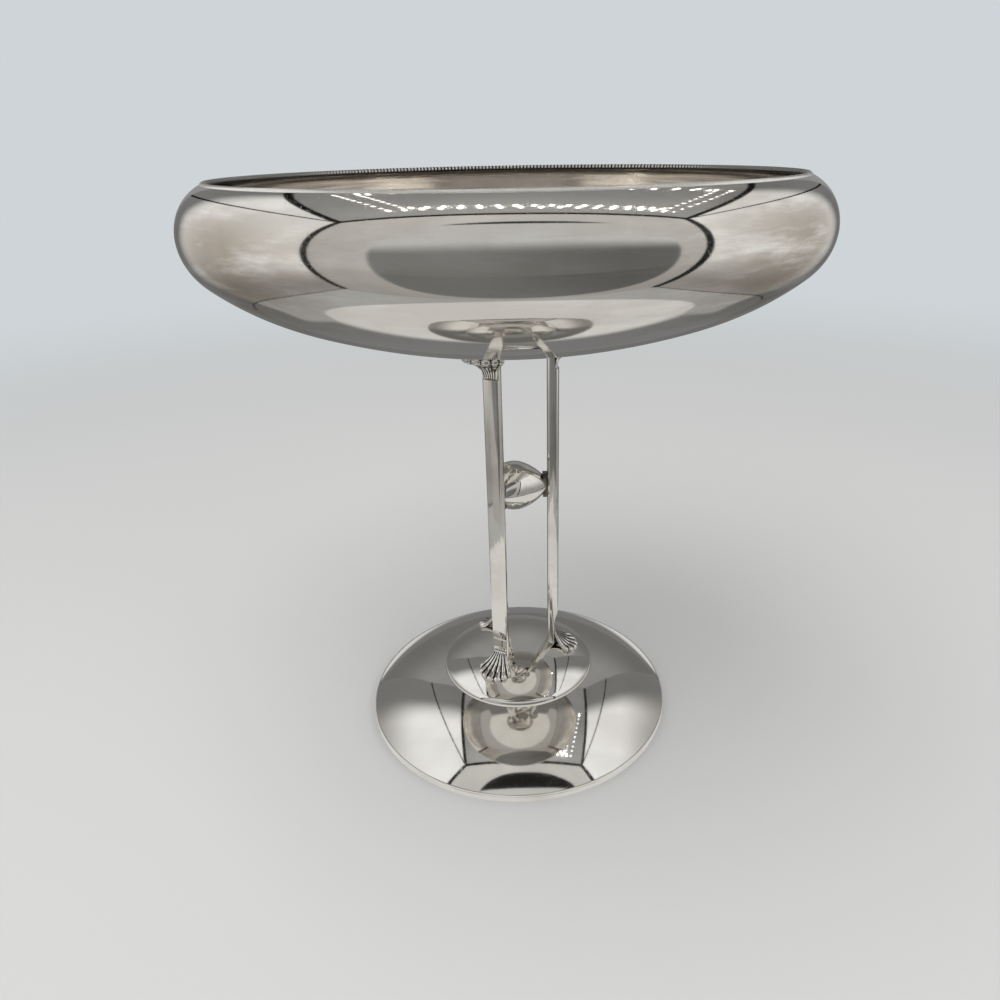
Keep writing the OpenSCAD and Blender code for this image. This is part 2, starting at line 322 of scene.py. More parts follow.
# Each layer of wiping scratches: its turn in radians and its lines to the metre
WIPING = (((0.3, 0.2, 0.5), 2340.0), ((1.1, 0.4, 1.9), 1890.0), ((0.6, 1.3, 2.8), 2700.0))
SCRATCH_STRETCH = (1.0, 0.035, 1.0)
SCRATCH_LINES_TO_PATCHES = 27

# Depths of the bumps, in metres
WAVE_DEPTH = 0.00012
GRAIN_DEPTH = 0.000001
SCRATCH_DEPTH = 0.000002
TOOL_MARK_DEPTH = 0.00003

# What the films add to the roughness
TARNISH_ROUGHNESS = 0.03
SCRATCH_ROUGHNESS = 0.08
HAZE_ROUGHNESS = 0.02

BROWN_SPOTS = (0.16, 0.1, 0.05)
OXIDISED = (0.12, 0.108, 0.095)
YELLOWED = (0.97, 0.935, 0.89)


def scratches(graph, place):
    """Fine hairlines in three directions, as wiping leaves them: 1 on a line, 0 between."""
    lines = None
    for turn, density in WIPING:
        along = graph.turned(place, turn, SCRATCH_STRETCH)
        layer = graph.noise(along, density, 1.0, 0.4).step(0.685, 0.72)
        patch = graph.noise(place, density / SCRATCH_LINES_TO_PATCHES, 1.0).step(0.45, 0.62)
        layer = layer * patch
        lines = layer if lines is None else lines + layer
    return lines.clamped()


def brown_belt(graph, place, height, half):
    """Streaks of tarnish round the height, strongest on the flanks to the left and right."""
    x, _, z = graph.parts(place)
    flank = x.absolute().step(0.035, 0.09)
    zone = (1 - (z - height).absolute().step(half * 0.3, half)) * (flank * 0.75 + 0.25)
    drawn_flat = graph.turned(place, (0, 0, 0), (1.0, 1.0, 7.0))
    return zone * graph.noise(drawn_flat, 18.0, 6.0, 0.65).step(0.3, 0.58)


def silver(name, finish, tarnish, roughness, rings=0.0, belt=None, groove=None, tint=None):
    """Polished silver plate: tarnish clouds, wiping scratches and soft waves. rings is the
    depth of a spun form's turning rings, belt is (height, half height) of its brown flanks,
    groove gives from the graph and the place where dark oxide and painted shade lie, and tint
    takes the clean silver's place."""
    material, graph = new_material(name)
    place = graph.place()
    x, y, z = graph.parts(place)
    clouds = graph.noise(place, 26.0, 4.0, 0.6).step(0.42, 0.72)
    specks = graph.noise(place, 420.0, 2.0, 0.55).step(0.6, 0.8)
    film = (clouds * 0.75 + specks * 0.25) * tarnish
    if belt:
        film = film + brown_belt(graph, place, *belt)
    film = film.clamped()
    lines = scratches(graph, place)
    base = graph.mixed(film, tint or tuple(finish.silver), tuple(finish.warm))
    # Painted shade with oxide: the groove mask pulls the colour towards the dark oxide colour
    if groove:
        creases = graph.noise(place, 900.0, 3.0, 0.6).step(0.3, 0.75)
        base = graph.mixed((groove(graph, x, y, z) + creases * 0.12).clamped(), base,
                           tuple(finish.dark))
    haze = graph.noise(place, 60.0, 2.0)
    dull = (film * TARNISH_ROUGHNESS + lines * SCRATCH_ROUGHNESS + haze * HAZE_ROUGHNESS
            + roughness)
    waves = graph.bump(graph.noise(place, 24.0, 1.0, 0.4), WAVE_DEPTH)
    grain = graph.bump(graph.noise(place, 1500.0, 2.0), GRAIN_DEPTH, under=waves)
    normal = graph.bump(lines, SCRATCH_DEPTH, 0.5, grain)
    if rings:
        radius = (x * x + y * y) ** 0.5
        turned = graph.noise(graph.vector(radius, 0.0, z), 900.0, 2.0, 0.7)
        normal = graph.bump(turned, rings, under=normal)
    graph.surface(graph.node("ShaderNodeBsdfPrincipled", {},
                             {"Base Color": base, "Metallic": 1.0, "Roughness": dull,
                              "Normal": normal}))
    return material


def hollows(graph, x, y, z):
    """Painted shade with oxide: 1 in the grooves that mark_hollows found and 0 on the crests. A
    level face has 0.5.
    """
    found = graph.node("ShaderNodeAttribute", {"attribute_name": HOLLOW}, {}, "Fac")
    return found.step(0.504, 0.495)


def brass(name, finish):
    """Dull brass with brown spots and tool marks."""
    material, graph = new_material(name)
    place = graph.place()
    spots = graph.noise(place, 500.0, 4.0, 0.6).step(0.45, 0.75)
    marks = graph.noise(graph.turned(place, (0, 0, 0.4), (1.0, 1.0, 14.0)), 500.0, 2.0)
    base = graph.mixed(spots, tuple(finish.brass), BROWN_SPOTS)
    graph.surface(graph.node("ShaderNodeBsdfPrincipled", {},
                             {"Base Color": base, "Metallic": 1.0,
                              "Roughness": spots * 0.25 + 0.3,
                              "Normal": graph.bump(marks, TOOL_MARK_DEPTH)}))
    return material


# Modelling


def nothing_selected():
    if bpy.context.object and bpy.context.object.mode != "OBJECT":
        bpy.ops.object.mode_set(mode="OBJECT")
    bpy.ops.object.select_all(action="DESELECT")


def only(piece):
    """Makes the piece the one that is selected and active."""
    nothing_selected()
    piece.select_set(True)
    bpy.context.view_layer.objects.active = piece


def edit(piece, kind="VERT", everything=True):
    """Opens the piece in edit mode with everything selected, or nothing."""
    only(piece)
    bpy.ops.object.mode_set(mode="EDIT")
    bpy.ops.mesh.select_mode(type=kind)
    bpy.ops.mesh.select_all(action="SELECT" if everything else "DESELECT")


def done():
    bpy.ops.object.mode_set(mode="OBJECT")


def apply_place(piece):
    only(piece)
    bpy.ops.object.transform_apply(location=True, rotation=True, scale=True)


def use_modifier(piece, kind, **settings):
    """Adds a modifier with its settings and applies it."""
    only(piece)
    modifier = piece.modifiers.new(kind.title(), kind)
    for name, value in settings.items():
        setattr(modifier, name, value)
    bpy.ops.object.modifier_apply(modifier=modifier.name)


def smooth(piece, degrees):
    only(piece)
    bpy.ops.object.shade_smooth_by_angle(angle=math.radians(degrees))


def joined(name, pieces):
    """Several pieces made one, under a name."""
    nothing_selected()
    for piece in pieces:
        piece.select_set(True)
    bpy.context.view_layer.objects.active = pieces[0]
    bpy.ops.object.join()
    pieces[0].name = name
    return pieces[0]


def mark_hollows(piece):
    """Stores how open each point of the surface lies, from 0 in a groove to 1 on a crest."""
    only(piece)
    bpy.ops.geometry.color_attribute_add(name=HOLLOW, domain="CORNER",
                                         data_type="FLOAT_COLOR", color=(1, 1, 1, 1))
    bpy.ops.paint.vertex_color_dirt(blur_strength=1.0, blur_iterations=3, normalize=False)


def copied(source, name):
    """A copy with its own mesh."""
    only(source)
    bpy.ops.object.duplicate(linked=False)
    twin = bpy.context.object
    twin.name = name
    return twin


def turned_to(piece, middle, axis):
    """Turns the piece's z axis to the axis, moves its origin to the middle and applies both."""
    piece.matrix_world = Matrix.Translation(middle) @ Vector((0, 0, 1)).rotation_difference(
        Vector(axis)).to_matrix().to_4x4()
    apply_place(piece)


def from_frame(node, name):
    """A copy of a CAD node's shape, merged and cleaned, with no parent and no material."""
    twin = copied(frame["nodes"][node], name)
    bpy.ops.object.parent_clear(type="CLEAR_KEEP_TRANSFORM")
    bpy.ops.object.transform_apply(location=True, rotation=True, scale=True)
    twin.data.materials.clear()
    edit(twin)
    bpy.ops.mesh.remove_doubles(threshold=SAME_PLACE)
    bpy.ops.mesh.customdata_custom_splitnormals_clear()
    done()
    return twin


def softened(node, name, edge, segments, sharp):
    """A copy of a CAD node with its level faces merged, and its edges rounded where they turn
    by more than sharp degrees."""
    piece = from_frame(node, name)
    edit(piece)
    bpy.ops.mesh.dissolve_limited(angle_limit=math.radians(1.0))
    done()
    use_modifier(piece, "BEVEL", width=edge, segments=segments, limit_method="ANGLE",
                 angle_limit=math.radians(sharp))
    return piece


def dress(piece, slot, material, *nodes):
    """Gives the piece its material, and lets it stand for its CAD nodes. slot is not used."""
    piece.data.materials.clear()
    piece.data.materials.append(material)
    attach(piece, BODY)
    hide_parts(*nodes)


def polar(radius, turn):
    """The place at a distance from the origin, in the direction of a turn."""
    return Vector((radius * math.cos(turn), radius * math.sin(turn)))


def arc(centre, radius, start, end, pitch):
    """Points of an arc from start to end, in radians, about pitch apart."""
    steps = max(2, math.ceil(abs(end - start) * radius / pitch))
    return [Vector(centre) + polar(radius, start + (end - start) * k / steps)
            for k in range(steps + 1)]


def spun(name, profile, steps, closed=True):
    """A turned piece: a point is extruded along the profile, which is then spun round the z
    axis. A place in the profile is (radius, height)."""
    first = Vector((profile[0][0], 0, profile[0][1]))
    nothing_selected()
    bpy.ops.mesh.primitive_plane_add(size=0.001, location=first)
    piece = bpy.context.object
    piece.name = name
    edit(piece)
    bpy.ops.mesh.merge(type="CENTER")
    here = first
    for radius, height in profile[1:]:
        there = Vector((radius, 0, height))
        bpy.ops.mesh.extrude_vertices_move(TRANSFORM_OT_translate={"value": there - here})
        here = there
    if closed:
        bpy.ops.mesh.extrude_vertices_move(TRANSFORM_OT_translate={"value": first - here})
        bpy.ops.mesh.select_all(action="SELECT")
        bpy.ops.mesh.remove_doubles(threshold=SAME_PLACE)
    done()
    apply_place(piece)
    edit(piece)
    bpy.ops.mesh.spin(steps=steps, angle=2 * math.pi, center=(0, 0, 0), axis=(0, 0, 1))
    bpy.ops.mesh.select_all(action="SELECT")
    bpy.ops.mesh.remove_doubles(threshold=SPIN_CLOSES)
    bpy.ops.mesh.normals_make_consistent(inside=False)
    done()
    return piece


def faces_where(piece, test):
    """Selects the faces whose middle and normal pass the test, and stays in edit mode."""
    edit(piece, "FACE", everything=False)
    done()
    for face in piece.data.polygons:
        face.select = test(face.center, face.normal)
    bpy.ops.object.mode_set(mode="EDIT")


def leg_turn(sizes, leg):
    """A leg's direction from the axis."""
    return sizes.turn + (leg - 1) * math.tau / len(LEGS)


def bowl_arcs(bowl):
    """The three arcs of the bowl's outer profile, each as (centre, radius, start, end)."""
    middle = bowl.shoulder - bowl.wall / 2
    mouth = math.acos((bowl.shoulder - bowl.mouth_inset) / middle)
    belt = bowl.height - bowl.wire - middle * math.sin(mouth)
    shoulder = Vector((bowl.radius - bowl.shoulder, belt))
    haunch = shoulder + polar(bowl.shoulder - bowl.haunch, -bowl.haunch_start)
    floor_radius = bowl.haunch + haunch[0] / math.cos(bowl.haunch_end)
    floor = haunch + polar(bowl.haunch - floor_radius, -bowl.haunch_end)
    return [(Vector((0, floor[1])), floor_radius, -math.pi / 2, -bowl.haunch_end),
            (haunch, bowl.haunch, -bowl.haunch_end, -bowl.haunch_start),
            (shoulder, bowl.shoulder, -bowl.haunch_start, mouth)]


def base_arcs(base):
    """The arcs of the base's outer profile from the axis outwards, as (centre, radius, start,
    end)."""
    edge = base.radius - base.ledge
    flange = Vector((edge - base.flange * math.sin(base.flange_slope),
                     base.band - base.flange * math.cos(base.flange_slope)))
    step = base.radius * base.step_share
    slope = math.asin((step - flange[0]) / base.flange)
    height = flange[1] + base.flange * math.cos(slope)
    roll = Vector((step - base.roll, height))
    edge_slope = math.asin(roll[0] / (base.dome - base.roll))
    dome = Vector((0, height - (base.dome - base.roll) * math.cos(edge_slope)))
    return [(dome, base.dome, math.pi / 2, math.pi / 2 - edge_slope),
            (roll, base.roll, math.pi / 2 - edge_slope, 0.0),
            (flange, base.flange, math.pi / 2 - slope, math.pi / 2 - base.flange_slope)]


def chain(arcs, inwards, pitch):
    """The arcs' points in order, moved inwards by a wall, with shared ends kept once."""
    points = []
    for centre, radius, start, end in arcs:
        for point in arc(centre, radius - inwards, start, end, pitch):
            if not points or (point - points[-1]).length > pitch * SHARED_END:
                points.append(point)
    return points


# Operators


class COMPOTE_OT_bowl(bpy.types.Operator):
    """Spins the bowl's shell and gives its outside and inside their finishes"""

    bl_idname = "compote.bowl"
    bl_label = "Bowl"
    bl_options = {"REGISTER", "UNDO"}

    def execute(self, context):
        bowl, finish = context.scene.compote_bowl, context.scene.compote_finish
        arcs = bowl_arcs(bowl)
        outer_pitch, inner_pitch, steps = 0.0014, 0.0016, 320
        outer = chain(arcs, 0.0, outer_pitch)
        inner = chain(arcs, bowl.wall, inner_pitch)
        piece = spun("bowl_body", outer + inner[::-1], steps, closed=False)
        belt_height, belt_half = 0.225, 0.03
        outside = silver("bowl_outside_silver", finish, tarnish=0.2, roughness=0.045,
                         rings=0.000001, belt=(belt_height, belt_half))
        inside = silver("bowl_inside_silver", finish, tarnish=0.08, roughness=0.09,
                        rings=0.000002, tint=YELLOWED)
        dress(piece, "bowl_plate", outside, "bowl_shell")
        piece.data.materials.append(inside)
        shoulder = arcs[-1][0]

        def within(place, normal):
            """Whether a face looks to the middle of the shoulder's section, or upwards."""
            outwards = Vector((place.x, place.y))
            flat = Vector((outwards.length, place.z))
            turned_out = Vector((normal.x, normal.y)).dot(outwards.normalized())
            towards = shoulder - flat if flat[0] > shoulder[0] else Vector((0, 1))
            return turned_out * towards[0] + normal.z * towards[1] > 0

        faces_where(piece, within)
        piece.active_material_index = 1
        bpy.ops.object.material_slot_assign()
        done()
        smooth(piece, 50)
        return {"FINISHED"}


class COMPOTE_OT_rim(bpy.types.Operator):
    """Makes the rim wire as a torus and mills its teeth by sinking rings of its section"""

    bl_idname = "compote.rim"
    bl_label = "Milled Rim"
    bl_options = {"REGISTER", "UNDO"}

    def execute(self, context):
        bowl, finish = context.scene.compote_bowl, context.scene.compote_finish
        mouth, level = bowl.radius - bowl.mouth_inset, bowl.height - bowl.wire
        rings_per_tooth, points_per_ring = 4, 10
        rings = bowl.teeth * rings_per_tooth
        nothing_selected()
        bpy.ops.mesh.primitive_torus_add(
            major_radius=mouth, minor_radius=bowl.wire, major_segments=rings,
            minor_segments=points_per_ring, location=(0, 0, level))
        piece = bpy.context.object
        piece.name = "milled_rim"
        apply_place(piece)
        edit(piece, everything=False)
        done()
        outermost, lowest = mouth + 0.15 * bowl.wire, level - 0.6 * bowl.wire
        for vertex in piece.data.vertices:
            x, y, z = vertex.co
            ring = round(math.atan2(y, x) / (math.tau / rings))
            vertex.select = (ring % rings_per_tooth == 0 and math.hypot(x, y) < outermost
                             and z > lowest)
        bpy.ops.object.mode_set(mode="EDIT")
        bpy.ops.transform.shrink_fatten(value=-bowl.tooth_depth)
        done()

        def notches(graph, x, y, z):
            """Painted shade and oxide between the teeth of the wire's inner half, below them and
            at its foot.
            """
            turn = y.maths("ARCTAN2", y, x) * bowl.teeth
            between = turn.maths("COSINE", turn).step(0.1, 0.3)
            inside = ((x * x + y * y) ** 0.5).step(mouth + 0.0005, mouth + 0.0002)
            below = z.step(level - 0.0007, level - 0.001)
            foot = z.step(level - 0.0002, level - 0.0005)
            return (between + below) * inside + foot

        # The notches mask paints shade with oxide into the rim wire
        dress(piece, "rim_plate",
              silver("rim_silver", finish, tarnish=0.1, roughness=0.3, groove=notches),
              "rim_wire")
        smooth(piece, 40)
        return {"FINISHED"}


class COMPOTE_OT_base(bpy.types.Operator):
    """Spins the base's shell, and its edge ring with a fine line round it"""

    bl_idname = "compote.base"
    bl_label = "Base"
    bl_options = {"REGISTER", "UNDO"}

    steps = 288

    def execute(self, context):
        base, finish = context.scene.compote_base, context.scene.compote_finish
        self.shell(base, finish)
        self.edge(base, finish)
        return {"FINISHED"}

    def shell(self, base, finish):
        """Both sides of the spun wall, with a flat lip where it meets the ring."""
        arcs = base_arcs(base)
        outer_pitch, inner_pitch, lowest = 0.0011, 0.0014, 0.0035
        outer = chain(arcs, 0.0, outer_pitch)
        inner = [place for place in chain(arcs, base.wall, inner_pitch) if place[1] > lowest]
        lip_width = base.wall * 1.2
        lip = Vector((outer[-1][0] - lip_width, outer[-1][1]))
        piece = spun("base_body", outer + [lip] + inner[::-1], self.steps, closed=False)
        dress(piece, "base_plate",
              silver("base_silver", finish, tarnish=0.12, roughness=0.04, rings=0.000001),
              "base_shell")
        smooth(piece, 40)

    def edge(self, base, finish):
        """The ring below the shell, with soft edges and a fine line cut round its face."""
        edge, band, covered_walls = base.radius, base.band, 1.9
        inside = edge - base.ledge - base.wall * covered_walls
        soft, softer_share, line_from_top = 0.0003, 0.3, 0.0011
        softer, line = soft * softer_share, band - line_from_top
        line_height, line_depth, slant = 0.00042, 0.00022, 0.00012
        profile = [(inside, 0.0), (edge - soft, 0.0), (edge - softer, softer), (edge, soft),
                   (edge, line), (edge - line_depth, line + slant),
                   (edge - line_depth, line + line_height - slant), (edge, line + line_height),
                   (edge, band - soft), (edge - softer, band - softer), (edge - soft, band),
                   (inside, band)]
        ring = spun("base_edge_band", [Vector(place) for place in profile], self.steps)
        dress(ring, "ring_plate", silver("edge_silver", finish, tarnish=0.3, roughness=0.07),
              "base_edge_ring")
        smooth(ring, 25)


class COMPOTE_OT_legs(bpy.types.Operator):
    """Makes the three legs with softened edges"""

    bl_idname = "compote.legs"
    bl_label = "Legs"
    bl_options = {"REGISTER", "UNDO"}

    def execute(self, context):
        leg, finish = context.scene.compote_leg, context.scene.compote_finish
        material = silver("leg_silver", finish, tarnish=0.5, roughness=0.05)
        for number in LEGS:
            piece = softened(f"leg_{number}", f"leg_bar_{number}", leg.edge, segments=3,
                             sharp=9)
            dress(piece, "leg_plate", material, f"leg_{number}")
            smooth(piece, 30)
        return {"FINISHED"}


class COMPOTE_OT_palmettes(bpy.types.Operator):
    """Casts the feet and capitals: rounds their lobes, flares the capitals, paints shade and
    oxide into their grooves
    """

    bl_idname = "compote.palmettes"
    bl_label = "Palmettes"
    bl_options = {"REGISTER", "UNDO"}

    def execute(self, context):
        scene = context.scene
        leg, sizes, finish = scene.compote_leg, scene.compote_palmette, scene.compote_finish
        # The groove mask paints shade with oxide into the cast hollows
        material = silver("palmette_silver", finish, tarnish=0.4, roughness=0.07,
                          groove=hollows)
        for end in ("foot", "capital"):
            first = from_frame(f"palmette_{end}_1", f"{end}_leaf_1")
            use_modifier(first, "REMESH", mode="VOXEL", voxel_size=sizes.grain)
            use_modifier(first, "SMOOTH", factor=0.5, iterations=3)
            if end == "capital":
                self.flare(first, leg, sizes)
            mark_hollows(first)
            leaves = [first] + [copied(first, f"{end}_leaf_{number}") for number in LEGS[1:]]
            for number, piece in zip(LEGS, leaves):
                turn = (number - 1) * math.tau / len(LEGS)
                piece.matrix_world = Matrix.Rotation(turn, 4, "Z")
                apply_place(piece)
                dress(piece, "palmette_plate", material, f"palmette_{end}_{number}")
                smooth(piece, 60)
        return {"FINISHED"}

    def flare(self, piece, leg, sizes):
        """Spreads the capital's lobe ends and bends them a little away from the bowl."""
        top = max(vertex.co.z for vertex in piece.data.vertices)
        edit(piece, everything=False)
        done()
        for vertex in piece.data.vertices:
            vertex.select = vertex.co.z > top - sizes.flare * 1.6
        root = polar(leg.circle + leg.depth / 2 - leg.tongue / 2, leg.turn)
        fading = {"use_proportional_edit": True, "proportional_edit_falloff": "SMOOTH",
                  "proportional_size": sizes.capital_height * 0.6}
        bpy.ops.object.mode_set(mode="EDIT")
        bpy.ops.transform.resize(value=(1.0, 1.1, 1.0), center_override=(*root, top), **fading)
        bpy.ops.transform.translate(value=(0, 0, -sizes.flare), **fading)
        done()


class COMPOTE_OT_ball(bpy.types.Operator):
    """Turns the ball and its three points, joins them and parts them at the seam"""

    bl_idname = "compote.ball"
    bl_label = "Pointed Ball"
    bl_options = {"REGISTER", "UNDO"}

    def execute(self, context):
        scene = context.scene
        ball, leg, finish = scene.compote_ball, scene.compote_leg, scene.compote_finish
        middle = Vector((0, 0, ball.height))
        nothing_selected()
        bpy.ops.mesh.primitive_uv_sphere_add(segments=96, ring_count=48, radius=ball.radius,
                                             location=middle)
        whole = bpy.context.object
        apply_place(whole)
        profile = self.point_profile(ball, leg.circle - leg.depth / 2 - LEG_GAP)
        for number in LEGS:
            point = spun(f"point_{number}", profile, steps=72, closed=False)
            turned_to(point, middle, (*polar(1.0, leg_turn(leg, number)), 0))
            use_modifier(whole, "BOOLEAN", operation="UNION", object=point, solver="EXACT")
            bpy.data.objects.remove(point)
        material = silver("ball_silver", finish, tarnish=0.3, roughness=0.04)
        for name, node, side in (("ball_top", "ball_upper_half", 1),
                                 ("ball_bottom", "ball_lower_half", -1)):
            half = copied(whole, name)
            edit(half)
            bpy.ops.mesh.bisect(plane_co=middle + Vector((0, 0, side * ball.seam / 2)),
                                plane_no=(0, 0, side), use_fill=True, clear_inner=True)
            done()
            use_modifier(half, "BEVEL", width=0.00015, segments=2, limit_method="ANGLE",
                         angle_limit=math.radians(50))
            dress(half, "ball_plate", material, node)
            smooth(half, 40)
        bpy.data.objects.remove(whole)
        return {"FINISHED"}

    def point_profile(self, ball, reach):
        """A hollow curve that leaves the ball and narrows to the reach, along the axis."""
        centre = (ball.curve - ball.radius) * Vector((math.sin(ball.leave),
                                                      math.cos(ball.leave)))
        start = ball.radius * math.cos(ball.leave)
        first, last = (math.asin((height + centre[1]) / ball.curve) for height in (start, reach))
        steps = 28
        profile = [Vector((0, start))]
        for k in range(steps + 1):
            turn = first + (last - first) * k / steps
            profile.append(Vector((ball.curve * math.cos(turn) - centre[0],
                                   ball.curve * math.sin(turn) - centre[1])))
        profile.append(Vector((0, reach)))
        return profile


class COMPOTE_OT_collars(bpy.types.Operator):
    """Makes the dark collars that hold the ball's points"""

    bl_idname = "compote.collars"
    bl_label = "Collars"
    bl_options = {"REGISTER", "UNDO"}

    def execute(self, context):
        material = silver("collar_silver", context.scene.compote_finish, tarnish=0.3,
                          roughness=0.2, tint=OXIDISED)
        for number in LEGS:
            piece = softened(f"ball_collar_{number}", f"collar_leaf_{number}", SMALL_EDGE,
                             segments=3, sharp=30)
            dress(piece, "collar_plate", material, f"ball_collar_{number}")
            smooth(piece, 35)
        return {"FINISHED"}


class COMPOTE_OT_fasteners(bpy.types.Operator):
    """Makes the saddle washers and the chamfered nuts below the dome"""

    bl_idname = "compote.fasteners"
    bl_label = "Fasteners"
    bl_options = {"REGISTER", "UNDO"}

    def execute(self, context):
        material = brass("fastener_brass", context.scene.compote_finish)
        for node, name, slot in (("saddle_washers", "saddle_washer_set", "washer_brass"),
                                 ("stud_nuts", "stud_nut_set", "nut_brass")):
            piece = softened(node, name, SMALL_EDGE, segments=2, sharp=40)
            dress(piece, slot, material, node)
            smooth(piece, 35)
        return {"FINISHED"}


# Stage

# Brightness that the silver mirrors: the tent's cloth, the board and the floor
LIT = (0.95, 0.95, 0.94)
LOW_ON_SIDES = (0.36, 0.35, 0.335)
BEHIND = (0.2, 0.2, 0.2)
BACK_LOW, BACK_HIGH = (0.17, 0.17, 0.165), (0.3, 0.3, 0.3)
CEILING_FRONT, CEILING_BACK = (0.42, 0.42, 0.41), (0.26, 0.26, 0.26)
FRONT_LOW, FRONT_HIGH = (0.4, 0.39, 0.37), (0.66, 0.65, 0.63)
FOLD_SHADE = (0.1, 0.1, 0.1)
BOARD = (0.7, 0.695, 0.68)
TENT_FLOOR = (0.43, 0.43, 0.425)
OUTSIDE_LEFT, OUTSIDE_RIGHT = (0.19, 0.19, 0.187), (0.13, 0.13, 0.128)
ROOM_LEFT, ROOM_RIGHT = (0.21, 0.212, 0.207), (0.15, 0.151, 0.148)
ROOM_HIGH, ROOM_TOP = (0.58, 0.58, 0.57), (0.015, 0.015, 0.015)
SEAM = (0.006, 0.006, 0.006)
SMALL_LIGHT = (1, 1, 0.98)

# Corners of a panel in order round it, and the two corners of a seam with its width
TENT_SIDES = (
    ("tent_left", "low_left", "back_low_left", "back_high_left", "high_left"),
    ("tent_right", "low_right", "back_low_right", "back_high_right", "high_right"))
TENT_EAVES = (
    ("tent_eaves_left", "high_left", "back_high_left", "roof_left", "high_left"),
    ("tent_eaves_right", "high_right", "back_high_right", "roof_right", "high_right"))
TENT_BACK = (("tent_back", "back_low_left", "back_low_right", "back_top_right",
              "back_top_left"),)
TENT_CEILING = (("tent_ceiling", "high_left", "high_right", "roof_right", "roof_left"),)
TENT_SEAMS = (
    ("seam_left", "low_left", "high_left", 0.02),
    ("seam_right", "low_right", "high_right", 0.022),
    ("seam_front_top", "high_left", "high_right", 0.02),
    ("seam_left_top", "high_left", "roof_left", 0.018),
    ("seam_right_top", "high_right", "roof_right", 0.018),
    ("seam_left_eaves", "high_left", "back_high_left", 0.006),
    ("seam_right_eaves", "high_right", "back_high_right", 0.006),
    ("seam_left_foot", "low_left", "back_low_left", 0.004),
    ("seam_right_foot", "low_right", "back_low_right", 0.004))


def tent_corners(stage):
    """The light tent's corners by name. It leans in a little and stands a little askew."""
    half, top, back = stage.tent_width, stage.tent_height, 0.3
    eaves = top - 0.19
    return {
        "low_left": (-half - 0.025, -0.265, 0), "low_right": (half - 0.045, -0.252, 0),
        "high_left": (-half + 0.04, -0.165, top), "high_right": (half, -0.18, top),
        "back_low_left": (-half, back, 0), "back_low_right": (half, back, 0),
        "back_high_left": (-half, back, eaves), "back_high_right": (half, back, eaves),
        "back_top_left": (-half, back, top), "back_top_right": (half, back, top),
        "roof_left": (-half + 0.07, back, top), "roof_right": (half - 0.01, back, top),
    }


def cloth(name, shade):
    """Glowing cloth with soft folds, where shade gives its colour from the place."""
    material, graph = new_material(name)
    place = graph.place()
    folds = graph.noise(graph.turned(place, (0, 0, 0), (1.0, 1.0, 0.35)), 7.0, 2.0)
    white = shade(graph, *graph.parts(place))
    return material, graph, graph.glow(
        graph.mixed(folds.step(0.3, 0.7) * 0.16, white, FOLD_SHADE))


def for_reflections(piece, material):
    """Lets the piece show in reflections alone, as a part of the stage."""
    piece.data.materials.append(material)
    piece.visible_camera = False
    piece.visible_diffuse = False
    piece.visible_shadow = False
    piece.visible_transmission = False


def panel(name, corners, material):
    """A flat panel between four corners, given in order round it."""
    nothing_selected()
    bpy.ops.mesh.primitive_plane_add(size=1)
    piece = bpy.context.object
    piece.name = name
    first, second, third, fourth = corners
    for vertex, place in zip(piece.data.vertices, (first, second, fourth, third)):
        vertex.co = place
    for_reflections(piece, material)


